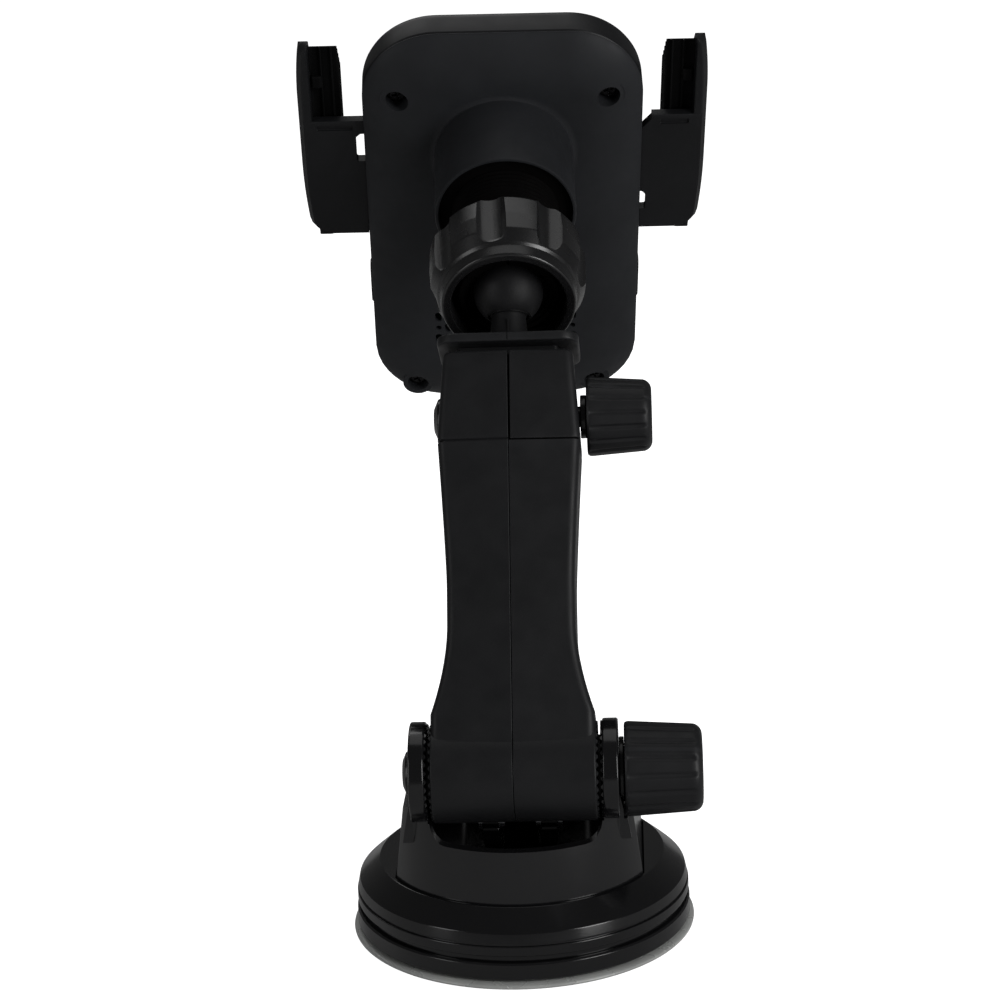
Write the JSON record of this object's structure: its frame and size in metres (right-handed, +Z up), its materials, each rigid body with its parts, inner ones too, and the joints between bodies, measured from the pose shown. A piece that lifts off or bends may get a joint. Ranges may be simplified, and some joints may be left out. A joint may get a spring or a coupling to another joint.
{
  "type": "car phone mount",
  "caption": "Telescopic dashboard phone mount with a suction base, pivoting extending arm, ball joint and a self-gripping wireless charging head.",
  "frame": {"origin": "centre of the suction cup's bottom face, on the surface it sticks to", "axes": "+Z up, away from the surface; -Y is the side that faces the driver and carries the phone; +X is the jaw and arm side away from the tightening knobs"},
  "size_m": [0.1078, 0.2011, 0.2088],
  "materials": {
    "gel": "translucent sticky gel, satin",
    "gloss_black": "glossy moulded black",
    "textured_black": "fine spark-eroded texture",
    "satin_black": "satin black",
    "soft_touch": "soft-touch matte",
    "inner_plastic": "matte black",
    "rubber_black": "matte silicone rubber",
    "nylon": "natural nylon",
    "bolt_black": "black cap, glossy",
    "screw_black": "black oxide",
    "zinc_steel": "zinc plated",
    "spring_steel": "drawn wire",
    "brass": "turned",
    "copper": "enamelled copper winding",
    "ferrite": "sintered ferrite",
    "board": "solder mask"
  },
  "bodies": {
    "base": {"suction_cup": "gel", "bottom_ring": "gloss_black", "base_cover": "gloss_black", "base_housing": "gloss_black", "base_screws": "zinc_steel", "stem_spring": "spring_steel", "pivot_bolt": "bolt_black"},
    "stem": {"stem": "inner_plastic", "cam_pin": "zinc_steel"},
    "lever": {"lever": "gloss_black"},
    "pivot_washer": {"pivot_washer": "bolt_black"},
    "pivot_knob": {"pivot_knob": "textured_black", "pivot_insert": "brass"},
    "arm": {"arm_shell_left": "textured_black", "arm_shell_right": "textured_black", "arm_screws": "zinc_steel", "clamp_plate": "textured_black", "clamp_bolt": "bolt_black"},
    "clamp_washer": {"clamp_washer": "bolt_black"},
    "clamp_knob": {"clamp_knob": "textured_black", "clamp_insert": "brass"},
    "inner_arm": {"inner_arm": "textured_black", "ball_stud": "satin_black"},
    "ball_sleeve": {"ball_sleeve": "satin_black"},
    "ball_seat": {"ball_seat": "nylon"},
    "head": {"socket_collet": "inner_plastic", "rear_cover": "soft_touch", "front_bezel": "satin_black", "front_pad": "rubber_black", "cover_screws": "screw_black", "charging_coil": "copper", "ferrite_disc": "ferrite", "circuit_board": "board", "usb_socket": "zinc_steel", "gear_motor": "zinc_steel", "pinion_axle": "zinc_steel"},
    "pressure_ring": {"pressure_ring": "inner_plastic"},
    "socket_nut": {"socket_nut": "gloss_black"},
    "motor_gear": {"motor_gear": "nylon"},
    "pinion": {"pinion": "nylon"},
    "jaw_left": {"jaw_left": "satin_black", "jaw_pad_left": "rubber_black"},
    "jaw_right": {"jaw_right": "satin_black", "jaw_pad_right": "rubber_black"},
    "button_left": {"button_left": "satin_black"},
    "button_right": {"button_right": "satin_black"},
    "foot": {"foot": "satin_black", "foot_pad": "rubber_black"}
  },
  "joints": [
    {"name": "stem_lift", "type": "slide", "parent": "base", "child": "stem", "axis": [0, 0, 1], "range_m": [-0.00202, 0], "deforming": ["stem_spring", "suction_cup"]},
    {"name": "lever_turn", "type": "hinge", "parent": "stem", "child": "lever", "pos_m": [0, 0, 0.0245], "axis": [-1, 0, 0], "range_deg": [0, 60]},
    {"name": "pivot_knob_travel", "type": "slide", "parent": "base", "child": "pivot_washer", "axis": [-1, 0, 0], "range_m": [0, 0.001]},
    {"name": "pivot_knob_turn", "type": "hinge", "parent": "pivot_washer", "child": "pivot_knob", "pos_m": [-0.035, 0.017, 0.044], "axis": [1, 0, 0], "range_deg": [0, 366]},
    {"name": "arm_tilt", "type": "hinge", "parent": "base", "child": "arm", "pos_m": [0, 0.017, 0.044], "axis": [-1, 0, 0], "range_deg": [-50, 100]},
    {"name": "clamp_knob_travel", "type": "slide", "parent": "arm", "child": "clamp_washer", "axis": [-1, 0, 0], "range_m": [0, 0.001]},
    {"name": "clamp_knob_turn", "type": "hinge", "parent": "clamp_washer", "child": "clamp_knob", "pos_m": [-0.026, -0.02698, 0.1172], "axis": [1, 0, 0], "range_deg": [0, 366]},
    {"name": "arm_extend", "type": "slide", "parent": "arm", "child": "inner_arm", "axis": [0, -0.515, 0.8572], "range_m": [0, 0.05]},
    {"name": "ball_pan", "type": "hinge", "parent": "inner_arm", "child": "ball_sleeve", "pos_m": [0, -0.04367, 0.14497], "axis": [0, -0.515, 0.8572], "range_deg": [-90, 90]},
    {"name": "ball_tilt", "type": "hinge", "parent": "ball_sleeve", "child": "ball_seat", "pos_m": [0, -0.04367, 0.14497], "axis": [-1, 0, 0], "range_deg": [-5, 60]},
    {"name": "ball_spin", "type": "hinge", "parent": "ball_seat", "child": "head", "pos_m": [0, -0.04367, 0.14497], "axis": [-0.0366, 0.8611, -0.5071], "range_deg": [-90, 90]},
    {"name": "nut_travel", "type": "slide", "parent": "head", "child": "pressure_ring", "axis": [-0.0366, 0.8611, -0.5071], "range_m": [0, 0.00076]},
    {"name": "nut_turn", "type": "hinge", "parent": "pressure_ring", "child": "socket_nut", "pos_m": [0.00022, -0.04884, 0.14802], "axis": [0.0366, -0.8611, 0.5071], "range_deg": [0, 180]},
    {"name": "jaw_left_slide", "type": "slide", "parent": "head", "child": "jaw_left", "axis": [0.9984, 0.0537, 0.0191], "range_m": [-0.0055, 0.007]},
    {"name": "jaw_right_slide", "type": "slide", "parent": "head", "child": "jaw_right", "axis": [-0.9984, -0.0537, -0.0191], "range_m": [-0.00551, 0.00701]},
    {"name": "pinion_spin", "type": "hinge", "parent": "head", "child": "pinion", "pos_m": [0.00266, -0.10011, 0.1643], "axis": [-0.0366, 0.8611, -0.5071], "range_deg": [-73.5, 58.3]},
    {"name": "motor_gear_spin", "type": "hinge", "parent": "head", "child": "motor_gear", "pos_m": [0.00209, -0.09276, 0.17388], "axis": [-0.0366, 0.8611, -0.5071], "range_deg": [-49.5, 62.3]},
    {"name": "button_left_press", "type": "slide", "parent": "head", "child": "button_left", "axis": [-0.9984, -0.0537, -0.0191], "range_m": [0, 0.0008], "stiffness_N_per_m": 400},
    {"name": "button_right_press", "type": "slide", "parent": "head", "child": "button_right", "axis": [0.9984, 0.0537, 0.0191], "range_m": [0, 0.0008], "stiffness_N_per_m": 400},
    {"name": "foot_slide", "type": "slide", "parent": "head", "child": "foot", "axis": [0.0436, -0.5056, -0.8617], "range_m": [0, 0.009]}
  ],
  "couplings": [
    {"joint": "stem_lift", "follows": "lever_turn", "m_per_rad": -0.0019099},
    {"joint": "pivot_knob_turn", "follows": "pivot_knob_travel", "rad_per_m": 6283.2},
    {"joint": "clamp_knob_turn", "follows": "clamp_knob_travel", "rad_per_m": 6283.2},
    {"joint": "nut_travel", "follows": "nut_turn", "m_per_rad": 0.00023873},
    {"joint": "jaw_right_slide", "follows": "jaw_left_slide", "ratio": 1},
    {"joint": "pinion_spin", "follows": "jaw_left_slide", "rad_per_m": -181.82},
    {"joint": "motor_gear_spin", "follows": "jaw_left_slide", "rad_per_m": 153.85}
  ]
}
